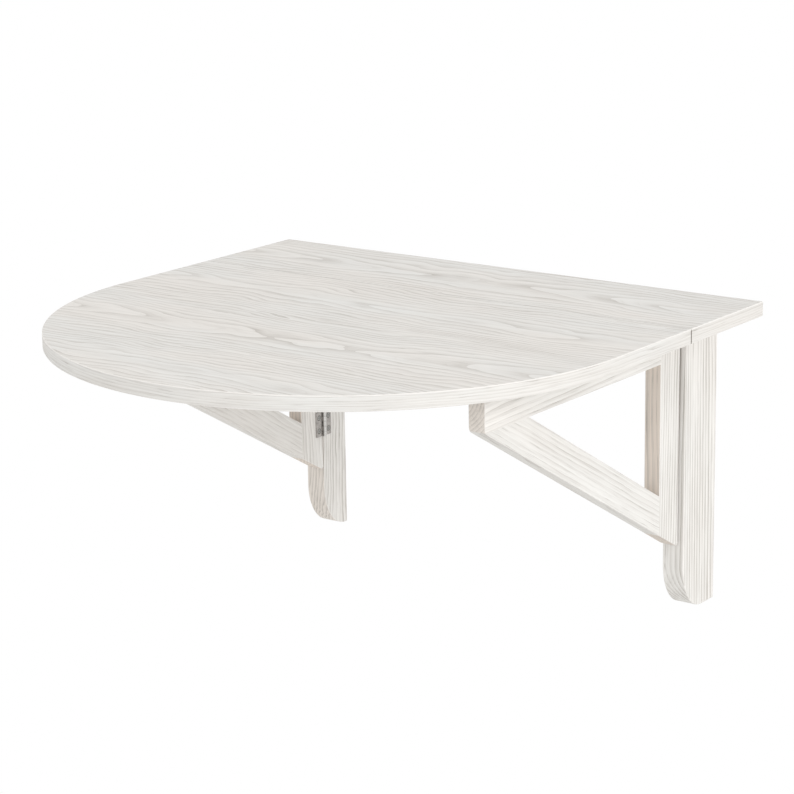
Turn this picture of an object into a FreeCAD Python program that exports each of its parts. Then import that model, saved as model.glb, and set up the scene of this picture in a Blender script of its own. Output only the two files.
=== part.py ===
"""Wall-mounted drop-leaf table with two swing-out brackets.

Frame: X runs along the wall, +Y points into the wall (wall face at Y = 0), +Z is up.
The origin is the centre of the four wall screw holes, on the wall face. Millimetres.
"""
import FreeCAD, Part
import math
import os

V = FreeCAD.Vector

# ---- table top: a fixed shelf against the wall and a round-ended leaf hinged to it
TOP_W = 800.0
TOP_D = 766.0
BOARD_T = 20.0
SHELF_D = 187.0
SEAM_GAP = 1.2
BOARD_EASE = 1.6

# ---- wall screw holes: two in each upright, hidden behind the bracket's stile
HOLE_PITCH_Z = 210.0
HOLE_DROP = 85.0  # upper hole below the shelf's underside
HOLE_INSET = 12.0  # hole centre from the upright's inner face
HOLE_D = 5.5
HEAD_BORE_D = 12.0
CLAMPED_T = 35.0  # wood left between the screw's head and the wall

# ---- uprights
END_INSET = 68.0  # outer faces in from the top's ends
UPRIGHT_T = 32.0
UPRIGHT_H = 404.0
UPRIGHT_D_LEFT = 52.5
FOOT_FLAT = 2.0  # flat left at the wall under the left upright
FOOT_RISE = 66.0
EASE = 1.2

# ---- swing brackets: stile, rail and brace
BRACKET_T = 24.0
STACK_GAP = 5.5  # room between the two folded brackets
HINGE_GAP = 1.5  # stile to upright
STILE_W = 49.0
HEEL_DROP = 310.0  # lowest corner below the shelf's underside
HEEL_R = 3.5
REACH = 454.0  # stile's back face to the tip
RAIL_DROP = 8.0  # rail's top below the shelf's underside, clears the seam hinges
RAIL_H = 40.0
TIP_R = 10.0
BRACE_W = 47.0

# ---- rest pads on the rails, under the leaf
PAD_L = 30.0
PAD_W = 20.0
PAD_CLEAR = 0.3
PAD_FROM_TIP = 27.0

# ---- butt hinges: four on the brackets, three under the seam
HINGE_L = 38.0
HINGE_LEAF_W = 17.5  # pin axis to the leaf's outer edge
HINGE_T = 1.6
BARREL_R = 3.0
PIN_R = 1.5
PIN_CLEAR = 0.05  # running knuckles on the pin
KNUCKLES = 5
KNUCKLE_GAP = 0.3
LEAF_CLEAR = 0.5  # leaf cut back beside the other leaf's knuckles
LEAF_CORNER_R = 1.0
HINGE_UPPER_DROP = 50.0  # upper hinge's middle below the underside
HINGE_LOWER_RISE = 72.0  # lower hinge's middle above the heel
SEAM_HINGE_X = 215.0

# ---- hinge screws
SCREW_OUT = 11.0  # screw from the pin axis
SCREW_PITCH = 20.0
SCREW_R = 1.5
SCREW_HEAD_R = 2.9
SCREW_L = 14.0
SCREW_TIP = 3.0
SLOT_W = 0.7
SLOT_L = 3.2
SLOT_D = 0.8

# ---- dowels
DOWEL_R = 4.0
DOWEL_CHAMFER = 0.8
DOWEL_END_ROOM = 1.0
SHELF_DOWEL_UP = 12.0
SHELF_DOWEL_DOWN = 28.0
FRAME_DOWEL_IN = 18.0

# ---- derived
TOP_Z = BOARD_T + HOLE_DROP + HOLE_PITCH_Z / 2.0
UNDER_Z = TOP_Z - BOARD_T
END_R = TOP_W / 2.0
END_Y = -(TOP_D - END_R)
INNER_X = END_R - END_INSET - UPRIGHT_T  # inner faces from the centre
LEAF_Y = -(SHELF_D + SEAM_GAP)
UPRIGHT_D = {"left": UPRIGHT_D_LEFT, "right": UPRIGHT_D_LEFT + BRACKET_T + STACK_GAP}
SIDE = {"left": -1, "right": 1}
RAIL_TOP_Z = UNDER_Z - RAIL_DROP
RAIL_BOT_Z = RAIL_TOP_Z - RAIL_H
HEEL_Z = UNDER_Z - HEEL_DROP
SLOPE = (RAIL_BOT_Z - HEEL_Z) / REACH  # brace's fall per millimetre towards the wall
HINGE_Z = {"upper": UNDER_Z - HINGE_UPPER_DROP, "lower": HEEL_Z + HINGE_LOWER_RISE}
SEAM_HINGE = {"left": -SEAM_HINGE_X, "middle": 0.0, "right": SEAM_HINGE_X}
SCREW_ROW = (-SCREW_PITCH / 2.0, SCREW_PITCH / 2.0)
FAR = 2000.0


def box(x0, x1, y0, y1, z0, z1):
    low = V(min(x0, x1), min(y0, y1), min(z0, z1))
    return Part.makeBox(abs(x1 - x0), abs(y1 - y0), abs(z1 - z0), low)


def cyl(radius, start, direction, length):
    return Part.makeCylinder(radius, length, start, direction)


def prism(points, x0, x1):
    """A flat outline in the YZ plane, drawn out from x0 to x1."""
    corners = [V(x0, y, z) for y, z in points]
    face = Part.Face(Part.makePolygon(corners + corners[:1]))
    return face.extrude(V(x1 - x0, 0, 0))


def side_x(side, inset):
    """Distance inset outward from an upright's inner face, as an X coordinate."""
    return SIDE[side] * (INNER_X + inset)


def edges_where(shape, test):
    return [e for e in shape.Edges if test(e)]


def at(edge, axis, value):
    """True if the whole edge lies in the plane where axis has this value."""
    box_ = edge.BoundBox
    low, high = {
        "x": (box_.XMin, box_.XMax),
        "y": (box_.YMin, box_.YMax),
        "z": (box_.ZMin, box_.ZMax),
    }[axis]
    return abs(low - value) < 1e-3 and abs(high - value) < 1e-3


def ease_outline(solid, x0, x1, radius, keep=lambda edge: False):
    """Rounds the outline edges in the two side planes, apart from those that keep names."""
    picked = edges_where(solid, lambda e: (at(e, "x", x0) or at(e, "x", x1)) and not keep(e))
    return solid.makeFillet(radius, picked)


# ---------------------------------------------------------------- table top


def board_rim(board, skip_y):
    """Top and bottom edges of a board, without those on the planes in skip_y."""
    def rim(edge):
        if not (at(edge, "z", TOP_Z) or at(edge, "z", UNDER_Z)):
            return False
        return not any(at(edge, "y", y) for y in skip_y)
    return edges_where(board, rim)


def shelf_board():
    board = box(-END_R, END_R, -SHELF_D, 0, UNDER_Z, TOP_Z)
    board = board.makeFillet(BOARD_EASE, board_rim(board, (0.0, -SHELF_D)))
    return cut_all(board, seam_pilots("shelf") + shelf_dowel_holes())


def leaf_board():
    right = Part.makeLine(V(END_R, LEAF_Y, UNDER_Z), V(END_R, END_Y, UNDER_Z))
    front = Part.Arc(
        V(END_R, END_Y, UNDER_Z), V(0, END_Y - END_R, UNDER_Z), V(-END_R, END_Y, UNDER_Z)
    ).toShape()
    left = Part.makeLine(V(-END_R, END_Y, UNDER_Z), V(-END_R, LEAF_Y, UNDER_Z))
    seam = Part.makeLine(V(-END_R, LEAF_Y, UNDER_Z), V(END_R, LEAF_Y, UNDER_Z))
    face = Part.Face(Part.Wire([right, front, left, seam]))
    board = face.extrude(V(0, 0, BOARD_T))
    board = board.makeFillet(BOARD_EASE, board_rim(board, (LEAF_Y,)))
    return cut_all(board, seam_pilots("leaf"))


# ---------------------------------------------------------------- uprights


def foot_arc(x, depth):
    """Quarter ellipse from the foot's flat up to the front face."""
    reach = UPRIGHT_D_LEFT - FOOT_FLAT
    foot_z = UNDER_Z - UPRIGHT_H
    centre = V(x, -depth + reach, foot_z + FOOT_RISE)
    ellipse = Part.Ellipse(
        centre + V(0, 0, -FOOT_RISE), centre + V(0, -reach, 0), centre
    )
    start = ellipse.parameter(V(x, -depth + reach, foot_z))
    end = ellipse.parameter(V(x, -depth, foot_z + FOOT_RISE))
    return ellipse.toShape(min(start, end), max(start, end))


def upright(side):
    depth = UPRIGHT_D[side]
    reach = UPRIGHT_D_LEFT - FOOT_FLAT
    foot_z = UNDER_Z - UPRIGHT_H
    x0, x1 = side_x(side, 0), side_x(side, UPRIGHT_T)
    wall_top, wall_foot = V(x0, 0, UNDER_Z), V(x0, 0, foot_z)
    front_top, front_low = V(x0, -depth, UNDER_Z), V(x0, -depth, foot_z + FOOT_RISE)
    flat_end = V(x0, -depth + reach, foot_z)
    outline = Part.Wire([
        Part.makeLine(wall_top, wall_foot),
        Part.makeLine(wall_foot, flat_end),
        foot_arc(x0, depth),
        Part.makeLine(front_low, front_top),
        Part.makeLine(front_top, wall_top),
    ])
    post = Part.Face(outline).extrude(V(x1 - x0, 0, 0))
    post = ease_outline(post, x0, x1, EASE, lambda e: at(e, "y", 0.0) or at(e, "z", UNDER_Z))
    holes = wall_holes(side) + [dowel_hole(d) for d in shelf_dowel_places(side)]
    return cut_all(post, holes + side_pilots(side, "upright"))


def wall_holes(side):
    """Screw hole and head bore, twice, from the upright's front face to the wall."""
    x = side_x(side, HOLE_INSET)
    tools = []
    for z in (HOLE_PITCH_Z / 2.0, -HOLE_PITCH_Z / 2.0):
        tools.append(cyl(HOLE_D / 2.0, V(x, -CLAMPED_T - 1.0, z), V(0, 1, 0), CLAMPED_T + 2.0))
        tools.append(cyl(HEAD_BORE_D / 2.0, V(x, -FAR, z), V(0, 1, 0), FAR - CLAMPED_T))
    return tools


# ---------------------------------------------------------------- dowels


def dowel(place):
    """A dowel from start along direction, with both ends chamfered."""
    start, direction, length = place
    pin = cyl(DOWEL_R, start, direction, length)
    ends = edges_where(pin, lambda e: isinstance(e.Curve, Part.Circle))
    return pin.makeChamfer(DOWEL_CHAMFER, ends)


def dowel_hole(place):
    start, direction, length = place
    return cyl(
        DOWEL_R, start - direction * DOWEL_END_ROOM, direction, length + 2 * DOWEL_END_ROOM
    )


def shelf_dowel_places(side):
    """Two upright dowels between the shelf and an upright."""
    x = side_x(side, UPRIGHT_T / 2.0)
    start_z = UNDER_Z - SHELF_DOWEL_DOWN
    inset = UPRIGHT_D_LEFT * 0.25
    length = SHELF_DOWEL_UP + SHELF_DOWEL_DOWN
    return [(V(x, y, start_z), V(0, 0, 1), length) for y in (-inset, -UPRIGHT_D[side] + inset)]


def shelf_dowel_holes():
    return [dowel_hole(d) for side in SIDE for d in shelf_dowel_places(side)]


def bracket_dowel_places(side):
    """Rail to stile, brace to stile and brace to rail, two dowels in each joint."""
    x = side_x(side, BRACKET_T / 2.0)
    front = stile_front_y(side)
    brace_low = lower_line_z(side, front - FRAME_DOWEL_IN)
    brace_high = lower_line_z(side, front) + BRACE_W * math.hypot(1.0, SLOPE)
    length = 2 * FRAME_DOWEL_IN
    inward = V(0, 1, 0)
    places = [
        (V(x, front - FRAME_DOWEL_IN, RAIL_BOT_Z + RAIL_H * part), inward, length)
        for part in (0.27, 0.73)
    ]
    places += [
        (V(x, front - FRAME_DOWEL_IN, brace_low + (brace_high - brace_low) * part), inward, length)
        for part in (0.27, 0.70)
    ]
    joint_l = BRACE_W * math.hypot(1.0, SLOPE) / SLOPE
    depth = FRAME_DOWEL_IN * 0.8
    places += [
        (V(x, tip_y(side) + joint_l * part, RAIL_BOT_Z - depth), V(0, 0, 1), 2 * depth)
        for part in (0.46, 0.76)
    ]
    return places


def cut_all(solid, tools):
    for tool in tools:
        solid = solid.cut(tool)
    return solid.removeSplitter()


# ---------------------------------------------------------------- brackets


def stile_back_y(side):
    return -(UPRIGHT_D[side] + HINGE_GAP)


def stile_front_y(side):
    return stile_back_y(side) - STILE_W


def tip_y(side):
    return stile_back_y(side) - REACH


def lower_line_z(side, y):
    """Height of the bracket's sloping lower edge at y."""
    return RAIL_BOT_Z - SLOPE * (y - tip_y(side))


def bracket_blank(side):
    """The bracket's outer outline at full thickness, with its heel and tip rounded."""
    x0, x1 = side_x(side, 0), side_x(side, BRACKET_T)
    back, tip = stile_back_y(side), tip_y(side)
    blank = prism([(back, RAIL_TOP_Z), (tip, RAIL_TOP_Z), (tip, RAIL_BOT_Z), (back, HEEL_Z)], x0, x1)
    heel = edges_where(blank, lambda e: at(e, "y", back) and at(e, "z", HEEL_Z))
    corner = edges_where(blank, lambda e: at(e, "y", tip) and at(e, "z", RAIL_BOT_Z))
    return blank.makeFillet(HEEL_R, heel).makeFillet(TIP_R, corner)


def stile(side):
    front = stile_front_y(side)
    x0, x1 = side_x(side, 0), side_x(side, BRACKET_T)
    solid = bracket_blank(side).common(box(-FAR, FAR, front, FAR, -FAR, FAR))
    solid = ease_outline(solid, x0, x1, EASE)
    dowels = [dowel_hole(d) for d in bracket_dowel_places(side)[:4]]
    return cut_all(solid, dowels + side_pilots(side, "stile"))


def rail(side):
    front = stile_front_y(side)
    x0, x1 = side_x(side, 0), side_x(side, BRACKET_T)
    solid = bracket_blank(side).common(box(-FAR, FAR, -FAR, front, RAIL_BOT_Z, FAR))
    # the lower edge stays square where the brace meets it
    solid = ease_outline(
        solid, x0, x1, EASE,
        lambda e: at(e, "y", front) or at(e, "z", RAIL_BOT_Z),
    )
    places = bracket_dowel_places(side)
    return cut_all(solid, [dowel_hole(d) for d in places[:2] + places[4:]])


def brace(side):
    front, tip = stile_front_y(side), tip_y(side)
    x0, x1 = side_x(side, 0), side_x(side, BRACKET_T)
    width_z = BRACE_W * math.hypot(1.0, SLOPE)
    start = tip - BRACE_W
    band = prism(
        [
            (start, lower_line_z(side, start) - BRACE_W),
            (start, lower_line_z(side, start) + width_z),
            (front, lower_line_z(side, front) + width_z),
            (front, lower_line_z(side, front) - BRACE_W),
        ],
        x0, x1,
    )
    solid = bracket_blank(side).common(band).common(box(-FAR, FAR, -FAR, front, -FAR, RAIL_BOT_Z))
    solid = ease_outline(
        solid, x0, x1, EASE, lambda e: at(e, "y", front) or at(e, "z", RAIL_BOT_Z)
    )
    return cut_all(solid, [dowel_hole(d) for d in bracket_dowel_places(side)[2:]])


def rest_pad(side):
    x = side_x(side, BRACKET_T / 2.0)
    y = tip_y(side) + PAD_FROM_TIP
    pad = box(
        x - PAD_W / 2.0, x + PAD_W / 2.0, y - PAD_L / 2.0, y + PAD_L / 2.0,
        RAIL_TOP_Z, UNDER_Z - PAD_CLEAR,
    )
    corners = edges_where(pad, lambda e: e.BoundBox.ZLength > 1.0)
    return pad.makeFillet(PAD_W / 5.0, corners)


# ---------------------------------------------------------------- hinges
# Local hinge frame: pin along Z, wood face at x = BARREL_R, fixed leaf towards +y.


def hinge_leaf(fixed):
    sign = 1.0 if fixed else -1.0
    pitch = HINGE_L / KNUCKLES
    plate = box(
        BARREL_R - HINGE_T, BARREL_R, sign * (BARREL_R + LEAF_CLEAR), sign * HINGE_LEAF_W,
        -HINGE_L / 2.0, HINGE_L / 2.0,
    )
    outer = edges_where(plate, lambda e: at(e, "y", sign * HINGE_LEAF_W) and e.BoundBox.XLength > 1.0)
    plate = plate.makeFillet(LEAF_CORNER_R, outer)
    for n in range(0 if fixed else 1, KNUCKLES, 2):
        low = -HINGE_L / 2.0 + n * pitch + (KNUCKLE_GAP / 2.0 if n else 0.0)
        high = -HINGE_L / 2.0 + (n + 1) * pitch - (KNUCKLE_GAP / 2.0 if n < KNUCKLES - 1 else 0.0)
        barrel = cyl(BARREL_R, V(0, 0, low), V(0, 0, 1), high - low)
        tab = box(BARREL_R - HINGE_T, BARREL_R, 0, sign * (BARREL_R + LEAF_CLEAR + 1.0), low, high)
        plate = plate.fuse(barrel).fuse(tab)
    bore_r = PIN_R if fixed else PIN_R + PIN_CLEAR
    tools = [cyl(bore_r, V(0, 0, -FAR), V(0, 0, 1), 2 * FAR)]
    tools += [screw_sink(sign * SCREW_OUT, z) for z in SCREW_ROW]
    return cut_all(plate, tools)


def hinge_pin():
    pin = cyl(PIN_R, V(0, 0, -HINGE_L / 2.0), V(0, 0, 1), HINGE_L)
    ends = edges_where(pin, lambda e: isinstance(e.Curve, Part.Circle))
    return pin.makeChamfer(PIN_R / 5.0, ends)


def screw_sink(y, z):
    """The tapered seat in a hinge leaf for one screw head."""
    return Part.makeCone(SCREW_HEAD_R, SCREW_R, HINGE_T, V(BARREL_R - HINGE_T, y, z), V(1, 0, 0))


def hinge_screw(y, z):
    """One countersunk wood screw, driven along +x with its head flush with the leaf."""
    face = BARREL_R - HINGE_T
    head = Part.makeCone(SCREW_HEAD_R, SCREW_R, HINGE_T, V(face, y, z), V(1, 0, 0))
    shank = cyl(SCREW_R, V(BARREL_R, y, z), V(1, 0, 0), SCREW_L - HINGE_T - SCREW_TIP)
    tip = Part.makeCone(SCREW_R, 0.0, SCREW_TIP, V(face + SCREW_L - SCREW_TIP, y, z), V(1, 0, 0))
    screw = head.fuse(shank).fuse(tip)
    across = box(face, face + SLOT_D, y - SLOT_L / 2.0, y + SLOT_L / 2.0, z - SLOT_W / 2.0, z + SLOT_W / 2.0)
    along = box(face, face + SLOT_D, y - SLOT_W / 2.0, y + SLOT_W / 2.0, z - SLOT_L / 2.0, z + SLOT_L / 2.0)
    return cut_all(screw, [across, along])


def pilot(y, z):
    """The hole that one screw cuts in the wood."""
    shank = cyl(SCREW_R, V(BARREL_R - 0.5, y, z), V(1, 0, 0), SCREW_L - HINGE_T - SCREW_TIP + 0.5)
    tip = Part.makeCone(
        SCREW_R, 0.0, SCREW_TIP, V(BARREL_R + SCREW_L - HINGE_T - SCREW_TIP, y, z), V(1, 0, 0)
    )
    return shank.fuse(tip)


def bracket_hinge_placement(side, level):
    """Pin just inside the inner face; the left one is turned half round about Y."""
    pin = V(SIDE[side] * (INNER_X - BARREL_R), -(UPRIGHT_D[side] + HINGE_GAP / 2.0), HINGE_Z[level])
    turn = FreeCAD.Rotation(V(0, 1, 0), 0.0 if side == "right" else 180.0)
    return FreeCAD.Placement(pin, turn)


def seam_hinge_placement(name):
    pin = V(SEAM_HINGE[name], -(SHELF_D + SEAM_GAP / 2.0), UNDER_Z - BARREL_R)
    return FreeCAD.Placement(pin, FreeCAD.Rotation(V(0, 1, 0), -90.0))


def placed(shape, placement):
    moved = shape.copy()
    moved.Placement = placement.multiply(moved.Placement)
    return moved


def side_pilots(side, owner):
    sign = 1.0 if owner == "upright" else -1.0
    return [
        placed(pilot(sign * SCREW_OUT, z), bracket_hinge_placement(side, level))
        for level in HINGE_Z
        for z in SCREW_ROW
    ]


def side_screws(side, owner):
    sign = 1.0 if owner == "upright" else -1.0
    return [
        placed(hinge_screw(sign * SCREW_OUT, z), bracket_hinge_placement(side, level))
        for level in HINGE_Z
        for z in SCREW_ROW
    ]


def seam_pilots(owner):
    sign = 1.0 if owner == "shelf" else -1.0
    return [
        placed(pilot(sign * SCREW_OUT, z), seam_hinge_placement(name))
        for name in SEAM_HINGE
        for z in SCREW_ROW
    ]


def seam_screws(owner):
    sign = 1.0 if owner == "shelf" else -1.0
    return [
        placed(hinge_screw(sign * SCREW_OUT, z), seam_hinge_placement(name))
        for name in SEAM_HINGE
        for z in SCREW_ROW
    ]


# ---------------------------------------------------------------- assembly


def build():
    nodes = {
        "shelf_board": shelf_board(),
        "leaf_board": leaf_board(),
        "shelf_dowels": Part.makeCompound([dowel(d) for s in SIDE for d in shelf_dowel_places(s)]),
        "seam_screws_shelf": Part.makeCompound(seam_screws("shelf")),
        "seam_screws_leaf": Part.makeCompound(seam_screws("leaf")),
    }
    for side in SIDE:
        bracket = "bracket_" + side
        nodes["upright_" + side] = upright(side)
        nodes[bracket + "_stile"] = stile(side)
        nodes[bracket + "_rail"] = rail(side)
        nodes[bracket + "_brace"] = brace(side)
        nodes[bracket + "_rest_pad"] = rest_pad(side)
        nodes[bracket + "_dowels"] = Part.makeCompound([dowel(d) for d in bracket_dowel_places(side)])
        nodes["hinge_screws_upright_" + side] = Part.makeCompound(side_screws(side, "upright"))
        nodes["hinge_screws_" + bracket] = Part.makeCompound(side_screws(side, "stile"))
        for level in HINGE_Z:
            hinge = "hinge_" + side + "_" + level
            placement = bracket_hinge_placement(side, level)
            nodes[hinge + "_fixed_leaf"] = placed(hinge_leaf(True), placement)
            nodes[hinge + "_swing_leaf"] = placed(hinge_leaf(False), placement)
            nodes[hinge + "_pin"] = placed(hinge_pin(), placement)
    for name in SEAM_HINGE:
        hinge = "seam_hinge_" + name
        placement = seam_hinge_placement(name)
        nodes[hinge + "_shelf_leaf"] = placed(hinge_leaf(True), placement)
        nodes[hinge + "_drop_leaf"] = placed(hinge_leaf(False), placement)
        nodes[hinge + "_pin"] = placed(hinge_pin(), placement)
    return nodes


os.makedirs("parts", exist_ok=True)
for node, shape in build().items():
    shape.exportStep(os.path.join("parts", node + ".step"))
    print(node, len(shape.Solids), round(shape.Volume, 1), shape.isValid())
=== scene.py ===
import math

import bpy
from mathutils import Matrix, Vector


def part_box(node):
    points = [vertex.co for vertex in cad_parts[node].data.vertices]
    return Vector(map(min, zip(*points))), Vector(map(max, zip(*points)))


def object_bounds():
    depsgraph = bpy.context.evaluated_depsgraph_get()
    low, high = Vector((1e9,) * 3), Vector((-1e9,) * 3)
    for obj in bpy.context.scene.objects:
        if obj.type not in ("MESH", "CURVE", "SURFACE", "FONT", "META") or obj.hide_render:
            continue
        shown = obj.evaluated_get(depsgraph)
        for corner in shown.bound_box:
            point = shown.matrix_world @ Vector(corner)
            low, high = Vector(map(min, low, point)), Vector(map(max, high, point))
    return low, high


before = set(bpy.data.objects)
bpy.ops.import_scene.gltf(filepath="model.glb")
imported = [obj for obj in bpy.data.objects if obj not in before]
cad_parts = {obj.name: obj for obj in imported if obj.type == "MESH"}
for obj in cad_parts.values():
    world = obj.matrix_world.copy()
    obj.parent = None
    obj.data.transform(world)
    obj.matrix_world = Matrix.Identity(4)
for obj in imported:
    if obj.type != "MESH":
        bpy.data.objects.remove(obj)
cad_low, cad_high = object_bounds()


# ---------------------------------------------------------------- shelf board
# The fixed board against the wall: 20 mm board faced with flat-sawn ash, its figure running along the
# wall, with a lengthwise strip glued round its rim and its edges eased with a block. It is limed white
# and stands on the uprights with dowels.

ACROSS, INWARD, UPWARD = (1, 0, 0), (0, 1, 0), (0, 0, 1)  # along the wall, into it and up


class Value:
    """One output socket of a finish. Arithmetic on it adds Math nodes."""

    def __init__(self, finish, socket):
        self.finish, self.socket = finish, socket

    def __add__(self, other):
        return self.finish.math("ADD", self, other)

    __radd__ = __add__

    def __sub__(self, other):
        return self.finish.math("SUBTRACT", self, other)

    def __rsub__(self, other):
        return self.finish.math("SUBTRACT", other, self)

    def __mul__(self, other):
        return self.finish.math("MULTIPLY", self, other)

    __rmul__ = __mul__

    def __truediv__(self, other):
        return self.finish.math("DIVIDE", self, other)

    def __rtruediv__(self, other):
        return self.finish.math("DIVIDE", other, self)

    def __pow__(self, other):
        return self.finish.math("POWER", self, other)

    def __rpow__(self, other):
        return self.finish.math("POWER", other, self)

    def __abs__(self):
        return self.finish.math("ABSOLUTE", self)

    def root(self):
        return self.finish.math("SQRT", self)

    def fract(self):
        return self.finish.math("FRACT", self)


class Finish:
    """The nodes of a material, or of the room's light, built one at a time."""

    def __init__(self, name, room=False):
        self.owner = (bpy.data.worlds if room else bpy.data.materials).new(name)
        self.owner.use_nodes = True
        self.tree = self.owner.node_tree
        self.tree.nodes.clear()

    def make(self, kind, settings=None, sockets=None, out=0):
        """Adds a node: its settings first, then a value or a link for each named or numbered socket."""
        node = self.tree.nodes.new(kind)
        for name, setting in (settings or {}).items():
            setattr(node, name, setting)
        for name, value in (sockets or {}).items():
            if isinstance(value, Value):
                self.tree.links.new(value.socket, node.inputs[name])
            else:
                node.inputs[name].default_value = value
        return Value(self, node.outputs[out]) if node.outputs else None

    def math(self, operation, *values):
        return self.make("ShaderNodeMath", {"operation": operation}, dict(enumerate(values)))

    def dot(self, vector, direction):
        settings = {"operation": "DOT_PRODUCT"}
        return self.make("ShaderNodeVectorMath", settings, {0: vector, 1: direction}, out="Value")

    def distances(self, directions=(ACROSS, INWARD, UPWARD)):
        """How far a point of the piece lies along each direction, in metres."""
        here = self.make("ShaderNodeTexCoord", out="Object")
        return [self.dot(here, direction) for direction in directions]

    def turned(self, direction):
        """1 where the surface faces a direction or straight away from it, 0 where it runs along it."""
        return abs(self.dot(self.make("ShaderNodeTexCoord", out="Normal"), direction))

    def vector(self, x, y, z):
        return self.make("ShaderNodeCombineXYZ", None, {0: x, 1: y, 2: z})

    def noise(self, vector, detail=2.0, roughness=0.5):
        """Soft noise from 0 to 1 with a cell of one unit of the vector: x * 3.0 gives 3 cells a metre."""
        sockets = {"Vector": vector, "Scale": 1.0, "Detail": detail, "Roughness": roughness}
        return self.make("ShaderNodeTexNoise", {"noise_dimensions": "3D"}, sockets)

    def ease(self, value, low, high):
        """0 below low, 1 above high, smooth between."""
        settings = {"interpolation_type": "SMOOTHSTEP", "clamp": True}
        sockets = {"Value": value, "From Min": low, "From Max": high, "To Min": 0.0, "To Max": 1.0}
        return self.make("ShaderNodeMapRange", settings, sockets)

    def band(self, value, low, rising, falling, high):
        """1 from rising to falling, 0 below low and above high, smooth between."""
        return self.ease(value, low, rising) * (1.0 - self.ease(value, falling, high))

    def mix(self, amount, first, second):
        """Blends two colours, which go to the node's sockets 6 and 7."""
        settings = {"data_type": "RGBA", "blend_type": "MIX", "clamp_factor": True}
        first = first if isinstance(first, Value) else (*first, 1.0)
        second = second if isinstance(second, Value) else (*second, 1.0)
        return self.make("ShaderNodeMix", settings, {0: amount, 6: first, 7: second}, out=2)

    def bump(self, height, depth, strength):
        """Relief that stands depth metres high where height is 1."""
        sockets = {"Strength": strength, "Distance": depth, "Height": height}
        return self.make("ShaderNodeBump", None, sockets)

    def surface(self, **sockets):
        """Ends a material in its shader. Underscores stand for the spaces in a socket's name."""
        named = {name.replace("_", " "): value for name, value in sockets.items()}
        shader = self.make("ShaderNodeBsdfPrincipled", None, named)
        self.make("ShaderNodeOutputMaterial", None, {"Surface": shader})
        return self.owner


# The white wash over two tones of wood, and the paler tone on eased edges, which is partly wear and
# partly painted highlight.
BOARD_LIME = ((0.715, 0.695, 0.670), (0.695, 0.697, 0.685), (0.775, 0.758, 0.735))
GRAIN = (0.44, 0.415, 0.385)  # wood left showing along the open grain
PORE = (0.31, 0.29, 0.265)  # bottoms of the open pores
BARE = (0.74, 0.63, 0.54)  # wood with most of the wash wiped off
DUST_AND_SHADE = (0.20, 0.175, 0.15)  # dirt and painted shade for the seam between the boards
FAINT_LINES = 2.7  # faint dark lines to each growth ring
OPEN_GRAIN = 0.00022  # metres deep
SILKY = 0.56  # roughness where the wash lies smooth
EASED_EDGE = (0.12, 0.4, 0.8, 0.97)  # how far a surface has turned where the block eased its edge


def limed(
    finish, lime, along, across, deep, rings, worn_and_lit_edge, grain_depth,
    bare=0.0, narrow=2.2, dust_and_shade=0.0, uneven=0.90,
):
    """Limed ash. rings counts growth rings, and the eased-edge mask is 1 on eased edges, which take a
    paler tone for wear and a painted highlight.
    narrow thins the dark lines, and uneven is how much their strength changes from place to place."""
    blotch = finish.noise(finish.vector(along * 3.0, across * 11.0, deep * 11.0), detail=3.0)
    patches = finish.noise(finish.vector(along * 7.0, across * 40.0, deep * 40.0))
    strength = finish.ease(patches, 0.3, 0.7)
    early = (1.0 - rings.fract()) ** narrow
    faint = (1.0 - (rings * FAINT_LINES).fract()) ** narrow
    streaks = finish.noise(finish.vector(along * 22.0, across * 700.0, deep * 700.0))
    pores = finish.ease(streaks, 0.56, 0.70) * (0.25 + early * 0.75)
    fibre = finish.noise(finish.vector(along * 9.0, across * 260.0, deep * 260.0), detail=3.0)
    line = early * (0.75 - uneven / 2 + strength * uneven) + faint * strength * 0.30
    line = line * (0.55 + fibre * 0.9)
    wash = finish.mix(finish.ease(blotch, 0.3, 0.7), lime[0], lime[1])
    wash = finish.mix(bare, wash, BARE)
    stained = finish.mix(line * grain_depth, wash, GRAIN)
    stained = finish.mix((fibre - 0.5) * 0.55 + 0.08, stained, GRAIN)
    stained = finish.mix(pores * 0.55, stained, PORE)
    # Eased edges paler: partly wear, partly a painted highlight along the arris.
    colour = finish.mix(worn_and_lit_edge * 0.8, stained, lime[2])
    # Dirt together with painted shade, darkening the seam between shelf and leaf on their rims.
    colour = finish.mix(dust_and_shade, colour, DUST_AND_SHADE)
    gloss = SILKY + line * 0.10 + pores * 0.12 - worn_and_lit_edge * 0.08
    relief = line * -0.6 + pores * -1.0 + fibre * 0.25
    normal = finish.bump(relief, depth=OPEN_GRAIN, strength=0.55)
    return finish.surface(Base_Color=colour, Roughness=gloss, Normal=normal, Specular_IOR_Level=0.35)


# Where the hearts of the tree lie under the face: along the board, across it, and how fast each dips.
FACE_HEARTS = (
    (-0.45, -0.105, 0.28), (0.38, -0.085, 0.30), (-0.44, -0.285, 0.30), (0.14, -0.297, 0.16),
    (-0.42, -0.51, 0.26), (0.42, -0.50, 0.30), (0.05, -0.70, 0.08),
)
HEART_BLEND = 0.014  # how softly the rings of two hearts meet, in metres
FACE_RING, RIM_RING = 0.0160, 0.0042  # one growth ring, as wide as it is cut on the face and on the rim
LONG_SWAY, SHORT_SHAKE, SLOW_WANDER = 0.075, 0.013, 0.026  # how far the lines stray, in metres


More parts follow.
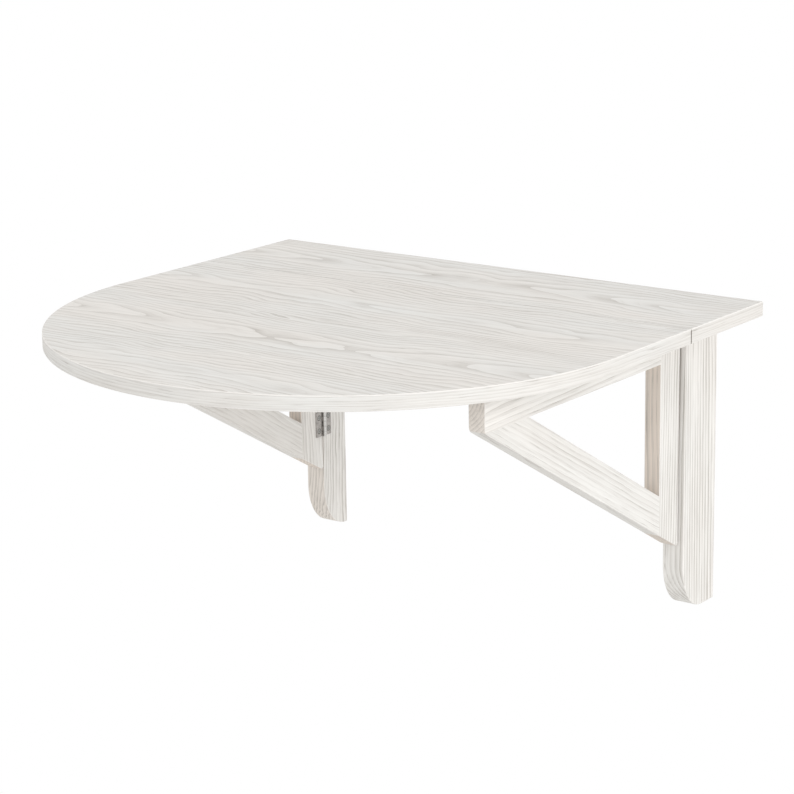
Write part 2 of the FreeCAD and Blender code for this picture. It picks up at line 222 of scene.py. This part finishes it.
def flat_sawn(finish, along, across):
    """Rings on the face of a flat-sawn board, and how far a point is from the nearest heart's line."""
    sway = finish.noise(finish.vector(along * 4.0, across * 8.0, 0.3)) - 0.5
    shake = finish.noise(finish.vector(along * 14.0, across * 40.0, 1.7), detail=3.0) - 0.5
    across = across + sway * LONG_SWAY + shake * SHORT_SHAKE
    nearest, aside = None, None
    for heart_along, heart_across, dip in FACE_HEARTS:
        away = abs(along - heart_along)
        reach = away * dip / (1.0 + away * 3.0)
        out = abs(across - heart_across)
        radius = (reach * reach + (out + out * out * 5.0) ** 2.0).root()
        nearest = radius if nearest is None else finish.math("SMOOTH_MIN", nearest, radius, HEART_BLEND)
        aside = out if aside is None else finish.math("MINIMUM", aside, out)
    wander = finish.noise(finish.vector(along * 9.0, across * 16.0, 5.1)) - 0.5
    return (nearest + wander * SLOW_WANDER) / FACE_RING, aside


seam_y = (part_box("shelf_board")[0].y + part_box("leaf_board")[1].y) / 2
end_radius = (cad_high.x - cad_low.x) / 2
end_middle_y = cad_low.y + end_radius
SEAM_DIRT_AND_SHADE = (0.0009, 0.0014)  # the seam's dirt and painted shade fade out this far from its middle
SEAM_SHADE_BELOW_TOP = (0.0025, 0.0015)  # and fade in this far below the top, so the top face has none


def faced_board(name, seed):
    """Board faced above and below, with an edging strip whose grain follows the rim."""
    finish = Finish(name)
    along, across, height = finish.distances()
    upward = finish.turned(UPWARD)
    face = finish.ease(upward, 0.55, 0.8)
    worn_and_lit_edge = finish.band(upward, *EASED_EDGE)
    face_rings, aside = flat_sawn(finish, along, across)
    drift = finish.noise(finish.vector(along * 6.0, across * 6.0, height * 90.0 + seed), detail=3.0)
    rim_rings = height / RIM_RING + drift * 3.2
    rings = rim_rings + (face_rings - rim_rings) * face
    near_heart = (1.0 - finish.ease(aside, 0.01, 0.11)) * face
    # The seam's dark line on the rims is painted shade together with dirt, and it stops below the top
    # face.
    in_seam = 1.0 - finish.ease(abs(across - seam_y), *SEAM_DIRT_AND_SHADE)
    below = 1.0 - finish.ease(height, *(cad_high.z - depth for depth in SEAM_SHADE_BELOW_TOP))
    round_rim = finish.math("ARCTAN2", along, end_middle_y - across) * end_radius
    return limed(
        finish, BOARD_LIME, round_rim + (along - round_rim) * face, across * face, height, rings, worn_and_lit_edge,
        grain_depth=0.50 + face * 0.38 - near_heart * 0.16, narrow=2.2 + face * 0.3 + near_heart * 0.6,
        dust_and_shade=in_seam * below * 0.9, uneven=0.35,
    )


def dress(node, material):
    """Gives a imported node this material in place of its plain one."""
    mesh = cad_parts[node].data
    mesh.materials.clear()
    mesh.materials.append(material)


dress("shelf_board", faced_board("shelf_limed_ash", seed=0.0))


# ---------------------------------------------------------------- drop leaf
# The round-ended flap, cut from the same sheet as the shelf so that the figure runs on across the seam.
# Its rim has one long strip bent round the half circle, and three hinges under the seam carry it.

dress("leaf_board", faced_board("leaf_limed_ash", seed=4.0))


# ---------------------------------------------------------------- uprights
# Two solid ash posts screwed to the wall, grain upright, with the foot's front corner cut to a quarter
# ellipse. The right one is deeper, so that its bracket folds over the other.

STICK_LIME = ((0.800, 0.778, 0.752), (0.780, 0.774, 0.755), (0.775, 0.754, 0.729))  # a thicker coat


def solid_stick(node, directions, heart, ring, seed, wiped=0.0, grain_depth=0.85, coat=1.0):
    """Dresses a solid ash stick in rings round a heart line that runs beside it. The directions go along
    the grain and twice across it, and the heart is its place in the last two and its lean."""
    finish = Finish(node + "_ash")
    length, a, b = finish.distances(directions)
    sway = finish.noise(finish.vector(length * 3.5 + seed, a * 8.0, b * 8.0)) - 0.5
    shake = finish.noise(finish.vector(length * 14.0, a * 60.0, b * 60.0 + seed), detail=3.0) - 0.5
    wander = sway * 0.022 + shake * 0.005
    heart_a, heart_b, lean = heart
    out_a = a - heart_a + wander + length * lean
    out_b = b - heart_b + wander
    rings = (out_a * out_a + out_b * out_b).root() / ring + seed
    sideways = finish.turned(ACROSS)
    # The eased edges get the paler third tone: wear and a painted highlight.
    worn_and_lit_edge = finish.band(sideways, *EASED_EDGE)
    bare = (1.0 - finish.ease(sideways, 0.2, 0.5)) * wiped
    lime = [tuple(channel * coat for channel in tone) for tone in STICK_LIME]
    dress(node, limed(finish, lime, length, a, b, rings, worn_and_lit_edge, grain_depth, bare))


for side, heart, wiped, coat in (
    ("left", (-0.20, 0.06, 0.02), 0.38, 1.02),
    ("right", (0.20, 0.075, -0.015), 0.0, 1.0),
):
    solid_stick(
        "upright_" + side, (UPWARD, ACROSS, INWARD), heart,
        ring=0.0046, seed=3.0, wiped=wiped, coat=coat,
    )


# ---------------------------------------------------------------- swing brackets
# Each bracket is a stile, a rail and a brace of solid ash, doweled and glued, with the grain along
# each stick. The stile carries the hinges and the rail goes under the leaf.

for side, sign in (("left", -1.0), ("right", 1.0)):
    bracket = "bracket_" + side
    solid_stick(
        bracket + "_stile", (UPWARD, ACROSS, INWARD), (sign * 0.22, -0.01, 0.02),
        ring=0.0044, seed=11.0, wiped=0.7,
    )
    solid_stick(
        bracket + "_rail", (INWARD, ACROSS, UPWARD), (sign * 0.25, 0.20, 0.025),
        ring=0.0046, seed=17.0, wiped=0.3, grain_depth=0.62,
    )
    brace_low, brace_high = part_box(bracket + "_brace")
    run, fall = brace_high.y - brace_low.y, brace_high.z - brace_low.z
    down = Vector((0, run, -fall)).normalized()  # from the rail's end to the stile's heel
    beside = Vector(ACROSS).cross(down)
    solid_stick(
        bracket + "_brace", (tuple(down), ACROSS, tuple(beside)), (sign * 0.27, 0.05, 0.05),
        ring=0.0062, seed=23.0, grain_depth=0.45, coat=0.955,
    )


# ---------------------------------------------------------------- dowels
# Plain round beech dowels glued into the joints. They are left unwashed, and show only when a joint is
# opened.

BEECH = ((0.56, 0.38, 0.23), (0.66, 0.48, 0.31))
BEECH_FLECK = (0.38, 0.24, 0.14)


def speckle(finish, point, cells, **fineness):
    """Noise with the same cells in every direction, so many to the metre."""
    return finish.noise(finish.vector(*(distance * cells for distance in point)), **fineness)


def beech(name):
    """Pale beech with darker flecks."""
    finish = Finish(name)
    point = finish.distances()
    fleck = speckle(finish, point, 900.0)
    tone = speckle(finish, point, 60.0, detail=3.0)
    colour = finish.mix(finish.ease(tone, 0.3, 0.7), *BEECH)
    colour = finish.mix(finish.ease(fleck, 0.55, 0.7) * 0.5, colour, BEECH_FLECK)
    normal = finish.bump(fleck, depth=0.0001, strength=0.4)
    return finish.surface(Base_Color=colour, Roughness=0.6 + fleck * 0.15, Normal=normal)


dowel_beech = beech("dowel_beech")
for dowels in ("shelf_dowels", "bracket_left_dowels", "bracket_right_dowels"):
    dress(dowels, dowel_beech)


# ---------------------------------------------------------------- rest pads
# Pads of pressed wool felt, one glued on top of each rail. The leaf rests softly on them, and they hold
# it clear of the rails, which pass under the seam hinges.

FELT = ((0.50, 0.48, 0.44), (0.68, 0.66, 0.62))
FELT_CLUMP = (0.42, 0.40, 0.37)


def pressed_felt(name):
    """Matted grey-white fibres with darker clumps."""
    finish = Finish(name)
    point = finish.distances()
    fibres = speckle(finish, point, 1600.0, detail=4.0, roughness=0.7)
    clumps = speckle(finish, point, 240.0)
    colour = finish.mix(finish.ease(fibres, 0.35, 0.65), *FELT)
    colour = finish.mix(finish.ease(clumps, 0.45, 0.75) * 0.35, colour, FELT_CLUMP)
    normal = finish.bump(fibres + clumps * 0.5, depth=0.0004, strength=0.8)
    return finish.surface(Base_Color=colour, Roughness=0.93, Normal=normal, Sheen_Weight=0.25)


felt = pressed_felt("pad_felt")
for side in ("left", "right"):
    dress("bracket_" + side + "_rest_pad", felt)


# ---------------------------------------------------------------- butt hinges
# Stock 38 mm butt hinges: leaves stamped from strip and rolled into knuckles, then zinc plated. Four
# carry the brackets and three lie under the seam. Dirt and painted shade ring the screw heads, and the
# knuckles carry a painted highlight.

ZINC = (0.45, 0.43, 0.415)
# Bright zinc: rubbed drawing lines, and the painted highlight on the knuckles.
RUBBED_AND_HIGHLIGHT = (0.80, 0.80, 0.79)
# Dark tone for dirt together with painted shade.
GRIME_AND_SHADE = (0.10, 0.095, 0.085)
SCREW_OUT = 0.010  # from the leaf's middle to each screw, along the pin
SCREW_INSET = 0.0065  # from the leaf's outer edge to its screws
HEAD_GRIME_AND_SHADE = (0.0024, 0.0030, 0.0034, 0.0050)  # radii of the ring of dirt and painted shade round a screw head
BARREL = (0.0024, 0.0030)  # where the knuckles end, from the pin's middle


def plated_steel(finish, along, tone, rub, grime_and_shade=0.0, painted_highlight=0.0):
    """Zinc-plated steel with fine drawing lines along one axis, rubbed spots, dirt with painted shade,
    and a painted highlight.
    """
    point = finish.distances()
    cells = [90.0 if axis == along else 2600.0 for axis in "xyz"]
    stretched = finish.vector(*(distance * cell for distance, cell in zip(point, cells)))
    lines = finish.noise(stretched, detail=3.0)
    bloom = speckle(finish, point, 170.0, detail=4.0, roughness=0.6)
    dull = tuple(channel * 0.66 for channel in tone)
    colour = finish.mix(finish.ease(bloom, 0.35, 0.7) * 0.8, tone, dull)
    colour = finish.mix(finish.ease(lines, 0.55, 0.75) * rub, colour, RUBBED_AND_HIGHLIGHT)
    colour = finish.mix(painted_highlight, colour, RUBBED_AND_HIGHLIGHT)
    colour = finish.mix(grime_and_shade, colour, GRIME_AND_SHADE)
    gloss = 0.14 + finish.ease(bloom, 0.3, 0.75) * 0.16 + lines * 0.06 + grime_and_shade * 0.3
    normal = finish.bump(lines + bloom * 0.6, depth=0.00006, strength=0.5)
    return finish.surface(Base_Color=colour, Roughness=gloss, Metallic=1.0, Normal=normal)


def hinge_leaf(hinge, leaf, along, outward):
    """Plates one leaf, with a ring of dirt and painted shade round its two screws and a painted highlight
    on its knuckles. along is the pin's axis, and outward is 1 for a leaf that reaches towards the wall
    and -1 for one away."""
    node = hinge + leaf
    low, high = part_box(node)
    pin_low, pin_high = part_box(hinge + "_pin")
    screws_y = (high if outward > 0 else low).y - outward * SCREW_INSET
    finish = Finish(node + "_zinc")
    point = dict(zip("xyz", finish.distances()))
    length = abs(point[along] - getattr((low + high) / 2, along)) - SCREW_OUT
    width = point["y"] - screws_y
    # Ring of dirt and painted shade round each screw head.
    grime_and_shade = finish.band((length * length + width * width).root(), *HEAD_GRIME_AND_SHADE)
    # Painted highlight on the knuckles.
    knuckle_highlight = 1.0 - finish.ease(abs(point["y"] - ((pin_low + pin_high) / 2).y), *BARREL)
    dress(node, plated_steel(finish, along, ZINC, 0.30, grime_and_shade * 0.85, knuckle_highlight * 0.6))


for hinge in ("hinge_left_upper", "hinge_left_lower", "hinge_right_upper", "hinge_right_lower"):
    hinge_leaf(hinge, "_fixed_leaf", "z", 1)
    hinge_leaf(hinge, "_swing_leaf", "z", -1)

for hinge in ("seam_hinge_left", "seam_hinge_middle", "seam_hinge_right"):
    hinge_leaf(hinge, "_shelf_leaf", "x", 1)
    hinge_leaf(hinge, "_drop_leaf", "x", -1)


# ---------------------------------------------------------------- hinge pins
# Drawn wire, plated with the hinge and driven tight through its fixed knuckles, so that the others turn
# on it. Each is cut flush with the end knuckles.

pin_steel = plated_steel(Finish("hinge_pin_zinc"), "z", ZINC, 0.5)
for pin in [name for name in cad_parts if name.endswith("_pin")]:
    dress(pin, pin_steel)


# ---------------------------------------------------------------- hinge screws
# Small countersunk cross-head wood screws, zinc plated, two to each hinge leaf. They are bright where the
# driver has rubbed, and the walls of the cross are darkened with dirt and painted shade.

SCREW_ZINC = (0.42, 0.42, 0.41)


def screw_head(name, drive):
    """drive is the axis that the screws are driven along: the cross's walls face away from it."""
    finish = Finish(name)
    # Dirt and painted shade on the walls of the cross.
    wall = 1.0 - finish.ease(finish.turned(drive), 0.5, 0.9)
    return plated_steel(finish, "y", SCREW_ZINC, 0.55, wall * 0.8)


side_screw = screw_head("side_screw_zinc", ACROSS)
seam_screw = screw_head("seam_screw_zinc", UPWARD)
for screws in [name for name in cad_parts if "screws" in name]:
    dress(screws, seam_screw if screws.startswith("seam") else side_screw)


# ---------------------------------------------------------------- studio
# A pale floor under the table, which hides nothing when it is looked at from below, and an even white
# room. One soft lamp stands at the right and a weaker one hangs in front.

FLOOR_DROP = 0.74  # table top above the floor
FLOOR_HALF = 30.0  # metres from its middle to each side
floor_z = cad_high.z - FLOOR_DROP
WHITE, FLOOR_WHITE, ROOM_WHITE = (1.0, 1.0, 1.0), (1.0, 0.985, 0.96), (1.0, 0.99, 0.975)

floor_mesh = bpy.data.meshes.new("floor")
corners = [(x * FLOOR_HALF, y * FLOOR_HALF, floor_z) for x, y in ((-1, -1), (1, -1), (1, 1), (-1, 1))]
floor_mesh.from_pydata(corners, [], [(0, 1, 2, 3)])
floor = bpy.data.objects.new("floor", floor_mesh)
bpy.context.scene.collection.objects.link(floor)


def shine(finish, kind, colour, strength):
    """Even light of one colour, from the floor or the room."""
    return finish.make(kind, None, {"Color": (*colour, 1.0), "Strength": strength})


floor_finish = Finish("studio_floor")
glow = shine(floor_finish, "ShaderNodeEmission", WHITE, 1.0)
dim = shine(floor_finish, "ShaderNodeEmission", FLOOR_WHITE, 0.915)
clear = floor_finish.make("ShaderNodeBsdfTransparent")
seen = floor_finish.make("ShaderNodeLightPath", out="Is Camera Ray")
below = floor_finish.make("ShaderNodeNewGeometry", out="Backfacing")
lit = floor_finish.make("ShaderNodeMixShader", None, {0: seen, 1: dim, 2: glow})
either = floor_finish.make("ShaderNodeMixShader", None, {0: below, 1: lit, 2: clear})
floor_finish.make("ShaderNodeOutputMaterial", None, {"Surface": either})
floor_mesh.materials.append(floor_finish.owner)

room = Finish("white_room", room=True)
backdrop = shine(room, "ShaderNodeBackground", WHITE, 1.0)
ambient = shine(room, "ShaderNodeBackground", ROOM_WHITE, 1.02)
seen = room.make("ShaderNodeLightPath", out="Is Camera Ray")
either = room.make("ShaderNodeMixShader", None, {0: seen, 1: ambient, 2: backdrop})
room.make("ShaderNodeOutputWorld", None, {"Surface": either})
bpy.context.scene.world = room.owner


def soft_light(name, place, size, watts):
    """A round lamp, size metres across, turned to the middle of the table."""
    light = bpy.data.lights.new(name, "AREA")
    light.shape, light.size, light.energy = "DISK", size, watts
    holder = bpy.data.objects.new(name, light)
    holder.location = place
    towards = (cad_low + cad_high) / 2 - Vector(place)
    holder.rotation_euler = towards.to_track_quat("-Z", "Y").to_euler()
    holder.visible_camera = False
    bpy.context.scene.collection.objects.link(holder)


soft_light("key_right", (3.7, -0.9, 0.5), size=2.8, watts=52.0)
soft_light("fill_front", (0.9, -3.65, 2.6), size=2.6, watts=26.5)

bpy.context.scene.view_settings.view_transform = "Standard"
bpy.context.scene.view_settings.look = "None"


# ---------------------------------------------------------------- camera
# A long lens at the right-hand front, looking a little down on the top, so that the board's sides stay
# nearly parallel. It is rolled a little under a degree.

FRAME_PX = 794.0
FOCAL_PX = 2569.3
SENSOR_MM = 36.0
STAND = (1.9754, -2.9427, 0.9527)  # where the lens is, in metres
TURN, TILT, ROLL = math.radians(36.499), math.radians(14.675), math.radians(-0.900)

camera_data = bpy.data.cameras.new("camera")
camera_data.sensor_width = SENSOR_MM
camera_data.lens = FOCAL_PX / FRAME_PX * SENSOR_MM
camera_data.clip_start, camera_data.clip_end = 0.05, 100.0
camera = bpy.data.objects.new("camera", camera_data)
camera.matrix_world = (
    Matrix.Translation(STAND)
    @ Matrix.Rotation(TURN, 4, "Z")
    @ Matrix.Rotation(math.pi / 2 - TILT, 4, "X")
    @ Matrix.Rotation(ROLL, 4, "Z")
)
bpy.context.scene.collection.objects.link(camera)
bpy.context.scene.camera = camera
